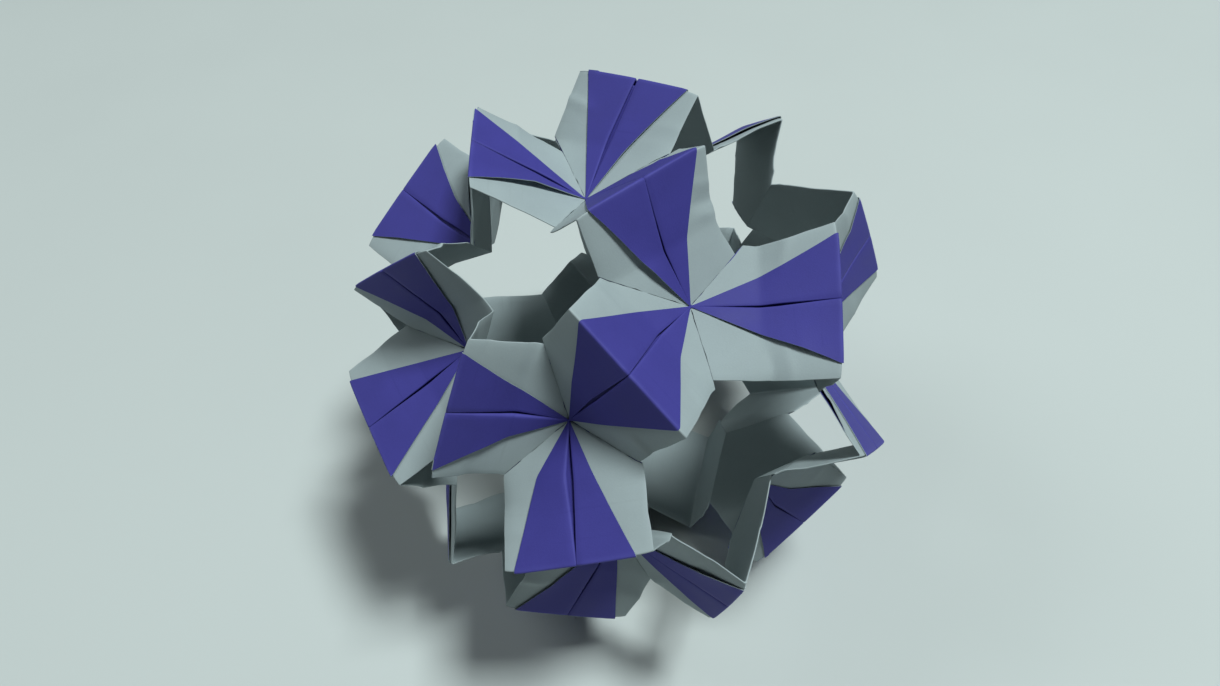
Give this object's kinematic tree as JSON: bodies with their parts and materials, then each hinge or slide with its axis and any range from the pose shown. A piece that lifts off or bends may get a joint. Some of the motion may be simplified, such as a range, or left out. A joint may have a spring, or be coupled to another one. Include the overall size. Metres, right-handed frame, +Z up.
{
  "type": "kusudama paper ball",
  "caption": "Hollow modular paper ball of folded two-tone units, with raised ridges, sunken three-way corners and five-sided openings.",
  "frame": {"origin": "on the surface that the ball stands on, under the middle of its box", "axes": "+Z up as the ball rests on three ridges; -Y is the side of the front corner"},
  "size_m": [0.1026, 0.106, 0.0958],
  "materials": {
    "two_tone_paper": "thin matt paper, violet on one face and grey-white on the other"
  },
  "bodies": {
    "root": {"folded_unit_01": "two_tone_paper", "folded_unit_02": "two_tone_paper", "folded_unit_03": "two_tone_paper", "folded_unit_04": "two_tone_paper", "folded_unit_05": "two_tone_paper", "folded_unit_06": "two_tone_paper", "folded_unit_07": "two_tone_paper", "folded_unit_08": "two_tone_paper", "folded_unit_09": "two_tone_paper", "folded_unit_10": "two_tone_paper", "folded_unit_11": "two_tone_paper", "folded_unit_12": "two_tone_paper", "folded_unit_13": "two_tone_paper", "folded_unit_14": "two_tone_paper", "folded_unit_15": "two_tone_paper", "folded_unit_16": "two_tone_paper", "folded_unit_17": "two_tone_paper", "folded_unit_18": "two_tone_paper", "folded_unit_19": "two_tone_paper", "folded_unit_20": "two_tone_paper", "folded_unit_21": "two_tone_paper", "folded_unit_22": "two_tone_paper", "folded_unit_23": "two_tone_paper", "folded_unit_24": "two_tone_paper", "folded_unit_25": "two_tone_paper", "folded_unit_26": "two_tone_paper", "folded_unit_27": "two_tone_paper", "folded_unit_28": "two_tone_paper", "folded_unit_29": "two_tone_paper", "folded_unit_30": "two_tone_paper"}
  },
  "joints": []
}
